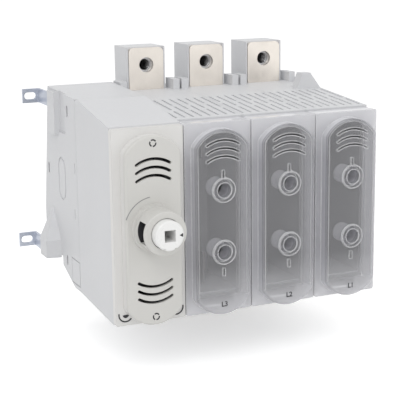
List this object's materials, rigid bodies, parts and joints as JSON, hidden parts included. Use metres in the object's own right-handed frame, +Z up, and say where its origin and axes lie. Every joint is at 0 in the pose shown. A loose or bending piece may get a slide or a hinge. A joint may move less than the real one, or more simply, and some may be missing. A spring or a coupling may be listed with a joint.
{
  "type": "fuse switch disconnector",
  "caption": "Modular fuse switch disconnector: rotary drive module beside fused poles with clear hinged covers, bolted bar terminals and angle brackets.",
  "frame": {"origin": "on the mounting plane, midway between the slots of the two lower brackets", "axes": "+X to the right seen from the front, +Y from the front towards the mounting panel, +Z up"},
  "size_m": [0.3212, 0.252, 0.281],
  "materials": {
    "drive_plastic": "fine matt moulded",
    "pole_plastic": "fine matt moulded",
    "coupler_plastic": "satin moulded",
    "liner_plastic": "matt moulded",
    "clear_plastic": "clear polished",
    "roller_plastic": "matt moulded",
    "steel": "plain machined",
    "zinc_steel": "bluish zinc plating",
    "spring_steel": "drawn wire",
    "bearing_bronze": "turned",
    "tinned_copper": "dull tin plating",
    "silvered_copper": "silver plating"
  },
  "bodies": {
    "switch_body": {"arc_plates_1": "steel", "arc_plates_2": "steel", "arc_plates_3": "steel", "bottom_terminal_1": "tinned_copper", "bottom_terminal_2": "tinned_copper", "bottom_terminal_3": "tinned_copper", "cover_hinge_pins": "steel", "drive_cover": "drive_plastic", "drive_frame": "zinc_steel", "drive_front_case": "drive_plastic", "drive_rear_case": "drive_plastic", "fuse_tray_1": "liner_plastic", "fuse_tray_2": "liner_plastic", "fuse_tray_3": "liner_plastic", "guide_rods": "steel", "jaw_springs": "spring_steel", "lower_jaw_1": "silvered_copper", "lower_jaw_2": "silvered_copper", "lower_jaw_3": "silvered_copper", "lower_left_bracket": "zinc_steel", "lower_right_bracket": "zinc_steel", "pole_housing_1": "pole_plastic", "pole_housing_2": "pole_plastic", "pole_housing_3": "pole_plastic", "return_springs": "spring_steel", "roller_bushes": "bearing_bronze", "shaft_bush": "bearing_bronze", "terminal_nuts": "steel", "tie_nuts": "steel", "tie_rods": "steel", "top_terminal_1": "tinned_copper", "top_terminal_2": "tinned_copper", "top_terminal_3": "tinned_copper", "upper_jaw_1": "silvered_copper", "upper_jaw_2": "silvered_copper", "upper_jaw_3": "silvered_copper", "upper_left_bracket": "zinc_steel", "upper_right_bracket": "zinc_steel"},
    "rotor": {"shaft_coupler": "coupler_plastic", "drive_shaft": "steel", "crank_disc": "steel", "crank_pin": "steel"},
    "yoke": {"slide_yoke": "steel"},
    "upper_roller": {"upper_contact_roller": "roller_plastic", "upper_roller_lever": "steel", "upper_lever_pin": "steel", "upper_contact_1": "silvered_copper", "upper_contact_2": "silvered_copper", "upper_contact_3": "silvered_copper"},
    "lower_roller": {"lower_contact_roller": "roller_plastic", "lower_roller_lever": "steel", "lower_lever_pin": "steel", "lower_contact_1": "silvered_copper", "lower_contact_2": "silvered_copper", "lower_contact_3": "silvered_copper"},
    "cover_1": {"fuse_cover_1": "clear_plastic"},
    "cover_2": {"fuse_cover_2": "clear_plastic"},
    "cover_3": {"fuse_cover_3": "clear_plastic"}
  },
  "joints": [
    {"name": "handle_turn", "type": "hinge", "parent": "switch_body", "child": "rotor", "pos_m": [-0.099, -0.205, 0.053], "axis": [0, 1, 0], "range_deg": [0, 90]},
    {"name": "yoke_slide", "type": "slide", "parent": "switch_body", "child": "yoke", "axis": [0, 0, 1], "range_m": [0, 0.02828], "deforming": ["return_springs"]},
    {"name": "upper_roller_turn", "type": "hinge", "parent": "switch_body", "child": "upper_roller", "pos_m": [-0.099, -0.06, 0.098], "axis": [-1, 0, 0], "range_deg": [0, 90]},
    {"name": "lower_roller_turn", "type": "hinge", "parent": "switch_body", "child": "lower_roller", "pos_m": [-0.099, -0.06, 0.008], "axis": [-1, 0, 0], "range_deg": [0, 90]},
    {"name": "cover_hinge_1", "type": "hinge", "parent": "switch_body", "child": "cover_1", "pos_m": [-0.0325, -0.197, -0.031], "axis": [1, 0, 0], "range_deg": [0, 100]},
    {"name": "cover_hinge_2", "type": "hinge", "parent": "switch_body", "child": "cover_2", "pos_m": [0.0335, -0.197, -0.031], "axis": [1, 0, 0], "range_deg": [0, 100]},
    {"name": "cover_hinge_3", "type": "hinge", "parent": "switch_body", "child": "cover_3", "pos_m": [0.0995, -0.197, -0.031], "axis": [1, 0, 0], "range_deg": [0, 100]}
  ],
  "couplings": [
    {"joint": "handle_turn", "follows": "yoke_slide", "rad_per_m": 55.54},
    {"joint": "upper_roller_turn", "follows": "yoke_slide", "rad_per_m": 55.54},
    {"joint": "lower_roller_turn", "follows": "yoke_slide", "rad_per_m": 55.54}
  ]
}
